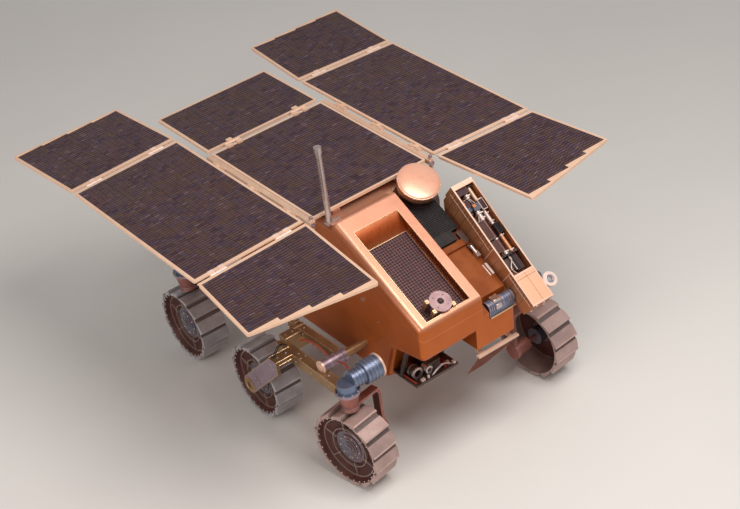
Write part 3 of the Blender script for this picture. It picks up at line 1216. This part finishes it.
bolt = turned([(0.0046, 0), (0.0046, 0.002), (0.0034, 0.0034), (0.0008, 0.0036)], 10)
ends = np.array([(DRILL_LENGTH, y, z) for y, z in ((0.015, -0.052), (0.017, -0.008), (0.050, -0.012),
                                                   (0.082, -0.020), (0.070, -0.052))])
drill_piece("drill_end_bolts", [copies(bolt, ends, turn_about("y", 90))], "white_paint")
knob = turned([(0.0095, -0.0152), (0.0252, -0.0152), (0.0255, -0.0145), (0.0255, -0.0055), (0.0245, -0.0045),
               (0.0205, -0.0045), (0.0200, -0.0052), (0.0150, -0.0052), (0.0142, -0.0030), (0.0100, -0.0030),
               (0.0095, -0.0040)], 48, ring=True)
hub = turned([(0.0095, -0.006), (0.0140, -0.006), (0.0138, -0.0016), (0.0118, -0.0010), (0.0096, -0.0016)],
             32, ring=True)
knob_place = (DRILL_LENGTH - 0.054, DRILL_WIDTH + 0.028, 0)
drill_piece("ring_knob", [moved(knob, place=knob_place)], "white_paint")
drill_piece("ring_hub", [moved(hub, place=knob_place)], "motor_steel")
print("drill pieces done")

# %% [markdown]
# ## Bogie trims and motors
# A bogie is gold foil on its beams, with pale folded edges, and lilac titanium on the pivot tube and on the
# arm outside the middle wheel. The trims are drawn once for the left side and mirrored: edge lines are thin
# tubes between two points, and an arm's skin is the outline that wraps its round end and its root.

# %% Bogie trims and motors


def pair(name, shapes, look, crease=35):
    """One piece of the shapes drawn for the left side and their mirror images."""
    return piece(name, [*shapes, *(moved(shape, mirror_y) for shape in shapes)], look, crease=crease)


def edge_line(start, end, radius=0.0014):
    """A thin bright bar along an edge, from one point to another."""
    share = np.linspace(0, 1, 3)[:, None]
    return tube(np.array(start) * (1 - share) + np.array(end) * share, radius, 6)


def wrapped(points, directions=96):
    """The outline round flat points: for each direction, the point that lies farthest along it."""
    angle = round_angles(directions)
    farthest = np.argmax(np.stack([np.cos(angle), np.sin(angle)], -1) @ points.T, axis=1)
    keep = np.concatenate([[True], np.diff(farthest) != 0])
    return points[farthest[keep]]


AXLE_X, AXLE_Z, SKIN_END = 0.097, 0.143, 0.032
arm_face = (AXLE_X, 0.4788, AXLE_Z)
circle = round_angles(48)
round_end = np.column_stack([AXLE_X + SKIN_END * np.cos(circle), AXLE_Z + SKIN_END * np.sin(circle)])
arm_points = np.vstack([round_end, [(0.269, 0.348), (0.310, 0.348), (0.310, 0.300)]])
pair("arm_skins", [carried(wrapped(arm_points), 1, (0.4779, 0.4790))], "lilac_metal")
boss = turned([(0.0125, 0.0), (0.0300, 0.0), (0.0300, 0.0018), (0.0262, 0.0018), (0.0255, 0.0010),
               (0.0195, 0.0010), (0.0190, 0.0034), (0.0135, 0.0040), (0.0125, 0.0032)], 44, ring=True)
pin = turned([(0.0128, 0), (0.0128, 0.0012), (0.0100, 0.0030), (0.0010, 0.0032)], 24)
pair("arm_bosses", [moved(boss, up_to_y, arm_face)], "olive_gold")
pair("arm_pins", [moved(pin, up_to_y, arm_face)], "dark_steel")


PIVOT_X, PIVOT_Z = 0.457, 0.362


def pivot_bands(rows, sides=28):
    """Sleeves round the pivot tube, each a row of (y, length, radius)."""
    return [sleeve((PIVOT_X, y, PIVOT_Z), "y", length, radius, sides) for y, length, radius in rows]


pair("pivot_sleeves", pivot_bands([(0.348, 0.080, 0.0222), (0.300, 0.012, 0.0245), (0.333, 0.003, 0.0232),
                                   (0.358, 0.003, 0.0232)]), "lilac_metal")
pair("pivot_caps", [*pivot_bands([(0.3905, 0.006, 0.0236)]), *pivot_bands([(0.3945, 0.004, 0.0150)], 20)],
     "pale_rim")

lines = np.array([
    # start and end of each line: on the pivot beam, the long beam, and the cross beam with the lever
    (0.236, 0.3242, 0.3755, 0.440, 0.3242, 0.3818), (0.236, 0.2958, 0.3755, 0.440, 0.2958, 0.3818),
    (0.236, 0.3242, 0.3492, 0.440, 0.3242, 0.3422), (0.315, 0.4092, 0.3502, 0.590, 0.4092, 0.3502),
    (0.315, 0.3750, 0.3502, 0.585, 0.3750, 0.3502), (0.256, 0.3300, 0.3752, 0.256, 0.3900, 0.3752),
    (0.268, 0.3930, 0.3502, 0.268, 0.4770, 0.3502), (0.313, 0.4100, 0.3502, 0.313, 0.4770, 0.3502),
    (0.313, 0.4100, 0.3342, 0.313, 0.4660, 0.3342), (0.186, 0.3322, 0.3922, 0.232, 0.3322, 0.3922)])
pair("bogie_edges", [edge_line(line[:3], line[3:]) for line in lines], "gold_rim")

bolt_head = turned([(0.0032, 0), (0.0032, 0.0020), (0.0022, 0.0030), (0.0005, 0.0032)], 10)
top_bolts = np.array([
    (0.326, 0.392, 0.350), (0.352, 0.382, 0.350), (0.352, 0.402, 0.350), (0.500, 0.392, 0.350),
    (0.575, 0.385, 0.350), (0.290, 0.420, 0.350), (0.290, 0.455, 0.350), (0.236, 0.350, 0.375),
    (0.236, 0.378, 0.375), (0.250, 0.310, 0.3757), (0.200, 0.325, 0.3921), (0.222, 0.325, 0.3921)])
side_bolts = np.array([
    (0.330, 0.409, 0.329), (0.420, 0.409, 0.329), (0.520, 0.409, 0.329), (0.224, 0.338, 0.371),
    (0.200, 0.338, 0.371), (0.448, 0.324, 0.372), (0.260, 0.324, 0.362), (0.280, 0.479, 0.330),
    (0.296, 0.479, 0.318), (0.150, 0.479, 0.200), (0.165, 0.479, 0.190)])
pair("bogie_bolts", [copies(bolt_head, top_bolts), copies(bolt_head, side_bolts, up_to_y)], "bare_metal")

share = np.linspace(0, 1, 22)
hose = np.stack([0.600 - 0.30 * share, 0.362 - 0.030 * np.sin(math.pi * share),
                 0.372 + 0.016 * np.sin(9 * share)], -1)
short = np.stack([0.285 - 0.030 * share, 0.470 - 0.075 * share, 0.354 + 0.024 * np.sin(math.pi * share)], -1)
pair("bogie_leads", [tube(hose, 0.0034, 8)], "red_lead", 60)
pair("bogie_wires", [tube(short, 0.0018, 6), tube(short + (0.009, 0, 0.003), 0.0018, 6)], "black_lead",
     60)

CORNERS_X, COLUMN_Y, MOTOR_Z = (0.622, -0.379), 0.403, 0.396
bands, flanges, rings = [], [], []
column_rings = [turned(profile, sides, ring=True) for profile, sides in (
    ([(0.0395, 0.3575), (0.0428, 0.3575), (0.0428, 0.3650), (0.0395, 0.3650)], 44),
    ([(0.0258, 0.3000), (0.0285, 0.3000), (0.0285, 0.3045), (0.0262, 0.3045)], 36))]
seat_bolt = turned([(0.0026, 0), (0.0026, 0.0016), (0.0004, 0.0022)], 8)
bolt_angles = round_angles(8) + 0.2
for x in CORNERS_X:
    bands += [sleeve((x, y, MOTOR_Z), "y", 0.0034, 0.0326, 36) for y in (0.384, 0.371, 0.358, 0.345)]
    bands += [sleeve((x, y, MOTOR_Z), "y", 0.0036, 0.0414, 40) for y in (0.335, 0.321, 0.307, 0.293)]
    flanges.append(sleeve((x, 0.2735, MOTOR_Z), "y", 0.0070, 0.0425, 40))
    rings += [moved(shape, place=(x, COLUMN_Y, 0)) for shape in column_rings]
    flanges.append(copies(seat_bolt, circle_places(0.0365, bolt_angles, 0.3642, (x, COLUMN_Y))))
pair("motor_bands", bands, "motor_steel")
pair("motor_flanges", flanges, "pale_rim")
pair("column_rings", rings, "lilac_metal")
print("bogie trims done")

# %% [markdown]
# ## Small fittings on the body
# Small instruments stand on the lower deck beside the drill and under the nose, and a banded motor lifts the
# drill. They are boxes and turned rings, each set on the surface that carries it: on the lower deck through
# the deck's own turn, and under the nose on the instrument shelf.

# %% Small fittings on the body


def lower_deck_boxes(rows):
    """Boxes that stand on the lower deck, each a row of (middle x, middle y, length, width, height)."""
    return [on_deck(standing_box(0, 0, length, width, LOWER_DECK - 0.001, LOWER_DECK + height), x, y)
            for x, y, length, width, height in rows]


def ring(place, axis, inner, outer, length):
    """A flat ring about x or y, centred at place."""
    band = turned([(inner, -length / 2), (outer, -length / 2), (outer, length / 2), (inner, length / 2)], 36,
                  ring=True)
    return moved(band, turn_about("y", 90) if axis == "x" else up_to_y, place)


fittings = lower_deck_boxes([(0.515, 0.1815, 0.020, 0.011, 0.012), (0.652, 0.180, 0.022, 0.014, 0.015)])
fittings.append(on_deck(sleeve((0, 0, LOWER_DECK + 0.013), "x", 0.030, 0.0065, 20), 0.636, 0.178))
piece("deck_fittings", fittings, "bare_metal")
boxes = lower_deck_boxes([(0.582, 0.178, 0.046, 0.020, 0.014), (0.620, 0.180, 0.018, 0.018, 0.010)])
piece("deck_boxes", boxes, "dark_steel")
bar = lower_deck_boxes([(0.708, 0.183, 0.046, 0.008, 0.006), (0.708, 0.172, 0.046, 0.004, 0.003)])
piece("deck_bar", bar, "white_paint")

LIFT_X, LIFT_Z = 0.764, 0.500
bands = [ring((LIFT_X, y, LIFT_Z), "y", 0.0196, 0.0214, width)
         for y, width in ((0.0860, 0.0050), (0.0960, 0.0020), (0.1040, 0.0020), (0.1460, 0.0060),
                          (0.1680, 0.0020), (0.1760, 0.0020), (0.1880, 0.0050))]
saddle = [block((LIFT_X - 0.015, 0.108, LIFT_Z + 0.012), (LIFT_X + 0.015, 0.141, LIFT_Z + 0.0245)),
          block((LIFT_X + 0.010, 0.112, LIFT_Z - 0.010), (LIFT_X + 0.0235, 0.137, LIFT_Z + 0.010))]
piece("lift_bands", bands, "lilac_metal")
soften(piece("lift_saddle", saddle, "bare_metal"), 0.002)
lift_foot = frame_bars((-0.023, 0.023), 0.050, 0.0040, 0.0, 0.0030)
piece("lift_foot", [moved(bar, place=(LIFT_X - 0.001, 0.138, 0.4705)) for bar in lift_foot], "gold_rim")
lift_bolts = np.array([(LIFT_X + x, y, LIFT_Z + 0.0245) for y in (0.114, 0.135) for x in (-0.010, 0.010)])
piece("lift_bolts", [copies(bolt_head, lift_bolts)], "orange_copper")

SHELF_TOP = 0.294
LENS_X, LENS_Y, LENS_Z = 0.664, -0.152, 0.313
lens_parts = [ring((LENS_X + 0.001, LENS_Y, LENS_Z), "x", 0.0135, 0.0218, 0.006),
              ring((LENS_X - 0.024, LENS_Y, LENS_Z), "x", 0.0195, 0.0216, 0.004),
              ring((LENS_X + 0.004, LENS_Y + 0.038, LENS_Z + 0.002), "x", 0.0085, 0.0145, 0.030),
              block((0.640, -0.100, SHELF_TOP + 0.044), (0.664, -0.084, SHELF_TOP + 0.047))]
piece("lens_rings", lens_parts, "bare_metal")
share = np.linspace(0, 1, 24)
loop = np.stack([0.688 + 0.008 * np.sin(math.pi * share), -0.110 + 0.085 * share,
                 SHELF_TOP - 0.003 + 0.030 * np.sin(math.pi * share)], -1)
piece("shelf_loop", [tube(loop, 0.0036, 10)], "bare_metal", crease=60)
bits = [standing_box(x, y, length, width, SHELF_TOP - 0.001, SHELF_TOP + height)
        for x, y, length, width, height in (
            (0.690, -0.150, 0.010, 0.014, 0.008), (0.692, -0.128, 0.006, 0.006, 0.012),
            (0.690, -0.018, 0.012, 0.010, 0.009), (0.672, -0.036, 0.010, 0.020, 0.006))]
piece("shelf_bits", bits, "white_paint")
tubes = [sleeve((0.655, y, SHELF_TOP + 0.004), "x", 0.070, 0.0038, 12) for y in (-0.052, -0.040, -0.178)]
piece("shelf_tubes", tubes, "red_lead")

teeth = [(y, 0.341 if k % 2 else 0.336) for k, y in enumerate(np.linspace(0.188, 0.022, 35))]
outline = [*teeth, (-0.030, 0.300), (0.040, 0.302), (0.150, 0.322)]
piece("strip_guard", [carried(outline, 0, (0.7765, 0.7795))], "dark_copper")
piece("strip_cap", [block((0.7740, 0.0195, 0.3478), (0.7868, 0.1905, 0.3488))], "pale_rim")

BALL_RADIUS = 0.0068
globe = turned([(BALL_RADIUS * math.sin(t), -BALL_RADIUS * math.cos(t))
                for t in np.linspace(0.15, math.pi - 0.05, 12)], 20)
balls = []
for y in (0.252, -0.252):
    balls += [moved(globe, place=(0.323, y, 0.8290)), ring((0.323, y, 0.804), "x", 0.0030, 0.0090, 0.0180)]
piece("latch_balls", balls, "lilac_metal")
eyes = [ring((0.488, -0.2070, 0.558), "y", 0.0035, 0.0075, 0.004)]
eyes += [ring((x, -0.2070, z), "y", 0.0010, 0.0036, 0.003) for x, z in ((0.430, 0.640), (0.560, 0.500))]
piece("wall_eye", eyes, "bare_metal")
print("fittings done")

# %% [markdown]
# ## Covers on the back, sides and belly
# A rover's box is closed by screwed covers, which the photograph shows only as faint lines on the near side.
# Each is a thin plate with a small screw every few centimetres along its edge. One helper draws a cover flat
# and a turn stands it against its wall.

# %% Covers on the back, sides and belly
SCREW_MARGIN = 0.009


def cover(width, height, thickness, pitch):
    """A thin plate in x and y about the origin, and its screws, spaced evenly round the edge."""
    sheet = standing_box(0, 0, width, height, -0.0005, thickness)
    reach_x, reach_y = width / 2 - SCREW_MARGIN, height / 2 - SCREW_MARGIN
    across = np.linspace(-reach_x, reach_x, max(2, round(width / pitch)))
    along = np.linspace(-reach_y, reach_y, max(2, round(height / pitch)))[1:-1]
    places = [(x, side * reach_y, thickness) for x in across for side in (-1, 1)]
    places += [(side * reach_x, y, thickness) for y in along for side in (-1, 1)]
    return sheet, copies(bolt_head, np.array(places))


back_turn = np.array([(0, 0, -1.0), (-1, 0, 0), (0, 1, 0)])
right_turn = np.array([(1.0, 0, 0), (0, 0, -1), (0, 1, 0)])
left_turn = np.array([(-1.0, 0, 0), (0, 0, 1), (0, 1, 0)])
under_turn = np.diag((1.0, -1.0, -1.0))
cover_table = (
    # width, height, turn, place on the wall
    (0.250, 0.190, back_turn, (-0.318, -0.008, 0.640)), (0.110, 0.120, back_turn, (-0.318, 0.110, 0.440)),
    (0.110, 0.120, back_turn, (-0.318, -0.126, 0.440)), (0.300, 0.200, right_turn, (-0.100, -0.205, 0.560)),
    (0.300, 0.200, left_turn, (-0.100, 0.189, 0.560)), (0.420, 0.260, under_turn, (0.080, -0.008, 0.262)),
)
sheets, screw_heads = [], []
for width, height, side_turn, place in cover_table:
    for group, shape in zip((sheets, screw_heads), cover(width, height, 0.0014, 0.045)):
        group.append(moved(shape, side_turn, place))
soften(piece("body_covers", sheets, "copper_skin"), 0.0006)
piece("cover_screws", screw_heads, "bare_metal")
socket_ring = turned([(0.004, -0.001), (0.0105, -0.001), (0.0105, 0.010), (0.0085, 0.012), (0.004, 0.012)],
                     20, ring=True)
sockets = [moved(socket_ring, back_turn, (-0.3194, y, 0.640)) for y in (-0.050, 0.010, 0.060)]
piece("back_sockets", sockets, "motor_steel")
print("covers", len(cover_table))
